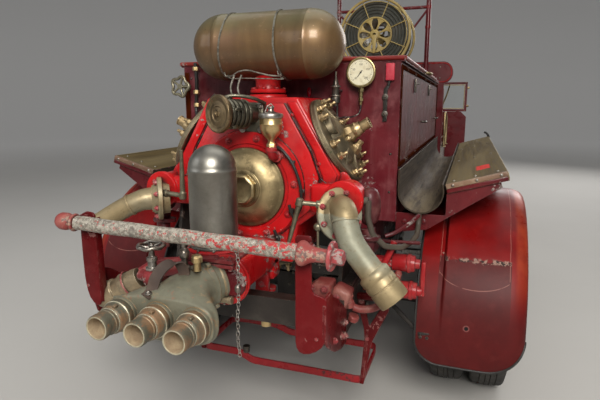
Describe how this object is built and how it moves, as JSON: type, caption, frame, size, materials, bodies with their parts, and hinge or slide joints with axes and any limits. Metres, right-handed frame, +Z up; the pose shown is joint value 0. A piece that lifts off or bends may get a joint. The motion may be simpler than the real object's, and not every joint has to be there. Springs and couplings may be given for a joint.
{
  "type": "fire engine",
  "caption": "Open-bodied vintage fire engine with a rear radial-cylinder pump, copper air vessel, hose reel and side benches.",
  "frame": {"origin": "centre of the outline on the ground", "axes": "+Y towards the front, +X to the vehicle's right, +Z up"},
  "size_m": [2.31, 6.08, 2.62],
  "materials": {
    "black_paint": "satin",
    "cast_iron": "rough",
    "steel": "dull",
    "maroon_paint": "gloss, worn",
    "trough_metal": "worn",
    "wood": "worn varnish",
    "aluminium": "tread plate",
    "leather": "worn",
    "brass": "tarnished",
    "glass": "clear",
    "black_plastic": "gloss",
    "chrome": "polished",
    "red_paint": "gloss",
    "gold_paint": "satin",
    "rubber": "matt",
    "bronze": "tarnished",
    "copper": "tarnished",
    "nickel": "dull",
    "grey_alloy": "tarnished",
    "tyre": "matt"
  },
  "bodies": {
    "chassis": {"chassis_frame": "black_paint", "leaf_springs": "black_paint", "rear_axle": "black_paint", "front_axle": "black_paint", "engine_and_drive": "cast_iron", "exhaust": "steel", "body_box": "maroon_paint", "hose_troughs": "trough_metal", "bench_boards": "wood", "bench_brackets": "maroon_paint", "side_lockers": "maroon_paint", "running_boards": "aluminium", "mudguards": "maroon_paint", "cab_floor": "maroon_paint", "seat_cushion": "leather", "seat_backrest": "leather", "seat_back_panel": "maroon_paint", "scuttle": "maroon_paint", "windscreen": "maroon_paint", "windscreen_glass": "glass", "steering_column": "black_paint", "radiator": "chrome", "headlamps": "chrome", "ladder_gantry": "red_paint", "pump_casing": "red_paint", "pump_heads": "bronze", "pump_cover": "brass", "air_tank": "copper", "suction_vessel": "nickel", "collecting_head": "grey_alloy", "suction_inlets": "grey_alloy", "delivery_bends": "grey_alloy", "rear_rail": "red_paint", "guard_loop": "red_paint", "pressure_gauge": "brass", "drain_hose": "rubber"},
    "lid": {"body_lid": "maroon_paint"},
    "door_left": {"locker_door_left": "maroon_paint"},
    "door_right": {"locker_door_right": "maroon_paint"},
    "bonnet_lid_left": {"bonnet_left": "red_paint"},
    "bonnet_lid_right": {"bonnet_right": "red_paint"},
    "steering": {"steering_wheel": "black_plastic"},
    "reel": {"hose_reel": "gold_paint", "reel_hose": "rubber"},
    "steer_left": {"knuckle_left": "black_paint"},
    "steer_right": {"knuckle_right": "black_paint"},
    "tie_rod": {"track_rod": "black_paint"},
    "front_wheel_left": {"tyre_front_left": "tyre", "wheel_front_left": "red_paint"},
    "front_wheel_right": {"tyre_front_right": "tyre", "wheel_front_right": "red_paint"},
    "rear_wheels_left": {"tyres_rear_left": "tyre", "wheels_rear_left": "red_paint"},
    "rear_wheels_right": {"tyres_rear_right": "tyre", "wheels_rear_right": "red_paint"}
  },
  "joints": [
    {"name": "steer_left_pivot", "type": "hinge", "parent": "chassis", "child": "steer_left", "pos_m": [-0.8, 2.43, 0.44], "axis": [0, 0, 1], "range_deg": [-30, 30]},
    {"name": "steer_right_pivot", "type": "hinge", "parent": "chassis", "child": "steer_right", "pos_m": [0.8, 2.43, 0.44], "axis": [0, 0, 1], "range_deg": [-30, 30]},
    {"name": "tie_rod_pivot", "type": "hinge", "parent": "steer_left", "child": "tie_rod", "pos_m": [-0.8, 2.26, 0.348], "axis": [0, 0, 1], "range_deg": [-30, 30]},
    {"name": "steering_wheel_turn", "type": "hinge", "parent": "chassis", "child": "steering", "pos_m": [0.35, 1.38, 1.45], "axis": [0, -0.766, 0.6428], "range_deg": [-305, 305]},
    {"name": "front_wheel_left_roll", "type": "hinge", "parent": "steer_left", "child": "front_wheel_left", "pos_m": [-0.932, 2.43, 0.44], "axis": [1, 0, 0], "continuous": true},
    {"name": "front_wheel_right_roll", "type": "hinge", "parent": "steer_right", "child": "front_wheel_right", "pos_m": [0.932, 2.43, 0.44], "axis": [1, 0, 0], "continuous": true},
    {"name": "rear_wheels_left_roll", "type": "hinge", "parent": "chassis", "child": "rear_wheels_left", "pos_m": [-0.93, -1.42, 0.44], "axis": [1, 0, 0], "continuous": true},
    {"name": "rear_wheels_right_roll", "type": "hinge", "parent": "chassis", "child": "rear_wheels_right", "pos_m": [0.93, -1.42, 0.44], "axis": [1, 0, 0], "continuous": true},
    {"name": "reel_turn", "type": "hinge", "parent": "chassis", "child": "reel", "pos_m": [0, 0.52, 2.15], "axis": [0, 1, 0], "continuous": true},
    {"name": "body_lid_hinge", "type": "hinge", "parent": "chassis", "child": "lid", "pos_m": [-0.579, -0.94, 1.73], "axis": [0, -1, 0], "range_deg": [0, 100]},
    {"name": "bonnet_left_hinge", "type": "hinge", "parent": "chassis", "child": "bonnet_lid_left", "pos_m": [-0.007, 2.28, 1.434], "axis": [0, 1, 0], "range_deg": [0, 75]},
    {"name": "bonnet_right_hinge", "type": "hinge", "parent": "chassis", "child": "bonnet_lid_right", "pos_m": [0.007, 2.28, 1.434], "axis": [0, -1, 0], "range_deg": [0, 75]},
    {"name": "door_left_hinge", "type": "hinge", "parent": "chassis", "child": "door_left", "pos_m": [-1.062, -0.04, 0.568], "axis": [0, -1, 0], "range_deg": [0, 90]},
    {"name": "door_right_hinge", "type": "hinge", "parent": "chassis", "child": "door_right", "pos_m": [1.062, -0.04, 0.568], "axis": [0, 1, 0], "range_deg": [0, 90]}
  ],
  "couplings": [
    {"joint": "steer_right_pivot", "follows": "steer_left_pivot", "ratio": 1},
    {"joint": "tie_rod_pivot", "follows": "steer_left_pivot", "ratio": -1},
    {"joint": "steering_wheel_turn", "follows": "steer_left_pivot", "ratio": 10}
  ]
}
